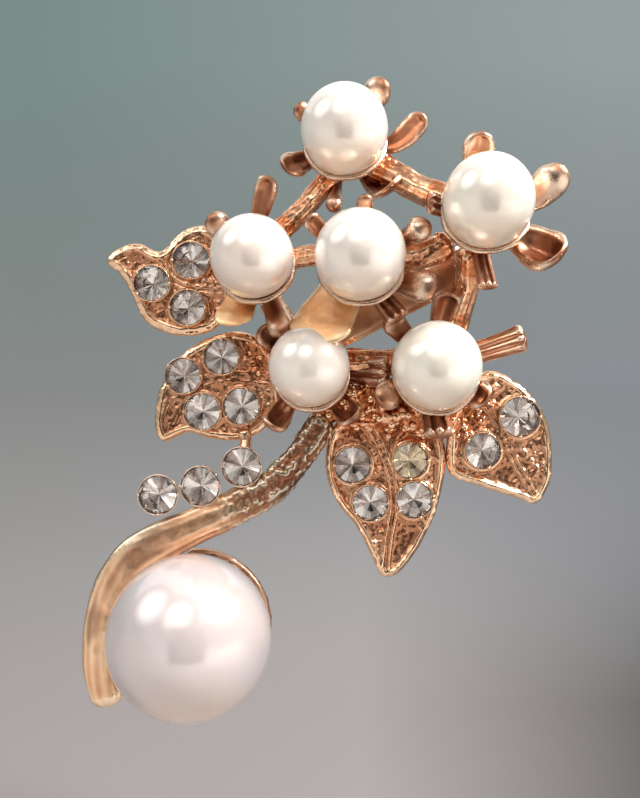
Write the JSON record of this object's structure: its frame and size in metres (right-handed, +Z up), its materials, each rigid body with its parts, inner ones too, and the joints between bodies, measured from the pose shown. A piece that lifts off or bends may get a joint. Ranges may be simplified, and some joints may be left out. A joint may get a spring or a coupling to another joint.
{
  "type": "brooch",
  "caption": "Floral spray brooch: pearls in sepal cups, stone-set leaves and a curled stem cradling a large pearl, with a hinged bar pin and locking catch.",
  "frame": {"origin": "where the stem enters the spray, in the plane of the pin bar's back, which lies towards the cloth", "axes": "+Z up as worn, from the large pearl towards the top flower; -Y towards the viewer of the front; +X to the right as seen from the front"},
  "size_m": [0.0442, 0.0175, 0.0598],
  "materials": {
    "rose_gold_cast": "cast, rose-gold plated, bright on the edges and darker in the recesses",
    "satin_gold": "rose-gold plated, brushed to a satin along the piece",
    "small_pearl": "warm white nacre lacquer, glossy",
    "large_pearl": "cool white nacre lacquer, soft gloss",
    "clear_stone": "faceted clear glass with a silver foil back",
    "champagne_stone": "faceted pale champagne glass with a dulled foil back",
    "pin_steel": "nickel-plated findings and a polished steel pin"
  },
  "bodies": {
    "brooch": {"pearl_top": "small_pearl", "cup_top": "rose_gold_cast", "pearl_right": "small_pearl", "cup_right": "rose_gold_cast", "pearl_left": "small_pearl", "cup_left": "rose_gold_cast", "pearl_centre": "small_pearl", "cup_centre": "rose_gold_cast", "pearl_lower_left": "small_pearl", "cup_lower_left": "rose_gold_cast", "pearl_lower_right": "small_pearl", "cup_lower_right": "rose_gold_cast", "twig_left_to_top": "rose_gold_cast", "twig_top_to_right": "rose_gold_cast", "twig_right_to_centre": "rose_gold_cast", "twig_right_to_lower": "rose_gold_cast", "twig_left_to_lower": "rose_gold_cast", "twig_left_to_centre": "rose_gold_cast", "twig_lower_pair": "rose_gold_cast", "fork_nugget": "rose_gold_cast", "row_cup_1": "satin_gold", "row_stone_1": "clear_stone", "row_cup_2": "satin_gold", "row_stone_2": "clear_stone", "row_cup_3": "satin_gold", "row_stone_3": "clear_stone", "pearl_large": "large_pearl", "pearl_seat": "satin_gold", "main_stem": "satin_gold", "leaf_left_upper": "rose_gold_cast", "leaf_left_upper_stone_1": "clear_stone", "leaf_left_upper_stone_2": "clear_stone", "leaf_left_upper_stone_3": "clear_stone", "leaf_left_lower": "rose_gold_cast", "leaf_left_lower_stone_1": "clear_stone", "leaf_left_lower_stone_2": "clear_stone", "leaf_left_lower_stone_3": "clear_stone", "leaf_left_lower_stone_4": "clear_stone", "leaf_bottom": "rose_gold_cast", "leaf_bottom_stone_1": "clear_stone", "leaf_bottom_stone_2": "clear_stone", "leaf_bottom_stone_3": "champagne_stone", "leaf_bottom_stone_4": "clear_stone", "leaf_right": "rose_gold_cast", "leaf_right_stone_1": "clear_stone", "leaf_right_stone_2": "clear_stone", "crescent_bar": "rose_gold_cast", "crescent_stone_1": "clear_stone", "crescent_stone_2": "clear_stone", "crescent_stone_3": "clear_stone", "crescent_stone_4": "clear_stone", "crescent_stone_5": "clear_stone", "crescent_stone_6": "clear_stone", "pin_bar": "satin_gold", "pin_joint": "pin_steel", "pin_rivet": "pin_steel", "pin_catch": "pin_steel"},
    "pin": {"pin_stem": "pin_steel"},
    "lock": {"catch_lock": "pin_steel"}
  },
  "joints": [
    {"name": "pin_hinge", "type": "hinge", "parent": "brooch", "child": "pin", "pos_m": [0.0135, 0.0025, 0.0148], "axis": [0.454, 0, -0.891], "range_deg": [0, 100]},
    {"name": "lock_turn", "type": "hinge", "parent": "brooch", "child": "lock", "pos_m": [-0.00806, 0.0025, 0.00381], "axis": [0.891, 0, 0.454], "range_deg": [0, 120]}
  ]
}
